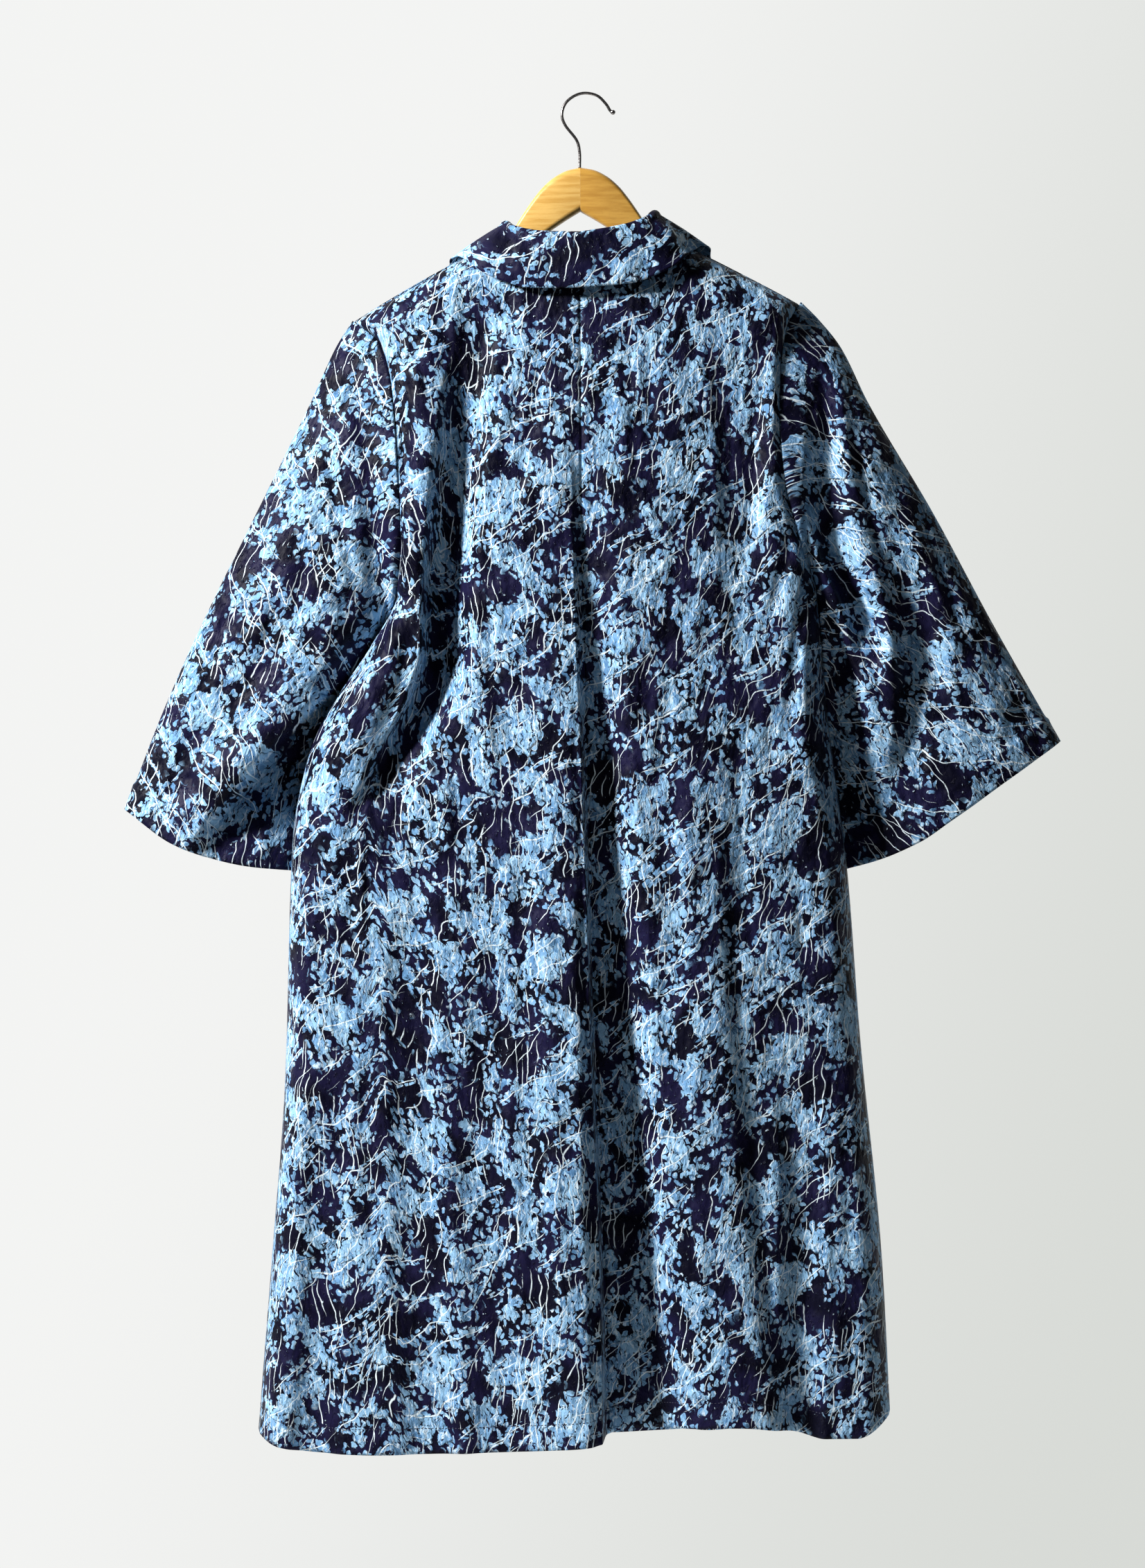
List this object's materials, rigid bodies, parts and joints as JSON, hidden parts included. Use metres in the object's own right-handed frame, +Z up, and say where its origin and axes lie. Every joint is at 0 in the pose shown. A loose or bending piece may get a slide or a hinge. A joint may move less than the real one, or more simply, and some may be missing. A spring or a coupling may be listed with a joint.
{
  "type": "long coat on a wooden hanger",
  "caption": "Long woven coat with a turned-down collar and wide set-in sleeves, hanging flat on a contoured wooden hanger with a wire hook.",
  "frame": {"origin": "inside top of the hanger's hook, where a rod or peg carries it", "axes": "+Z up, +X towards the wearer's right, so the coat's back faces -Y and its closed front faces +Y"},
  "size_m": [0.855, 0.1263, 1.2353],
  "materials": {
    "cloth": "satin jacquard, navy ground with pale blue blossom sprays",
    "beech": "clear varnish",
    "wire": "polished"
  },
  "bodies": {
    "root": {"back_left": "cloth", "back_right": "cloth", "front_left": "cloth", "front_right": "cloth", "sleeve_left": "cloth", "sleeve_right": "cloth", "collar": "cloth", "hanger_arm_left": "beech", "hanger_arm_right": "beech", "hanger_hook": "wire"}
  },
  "joints": []
}
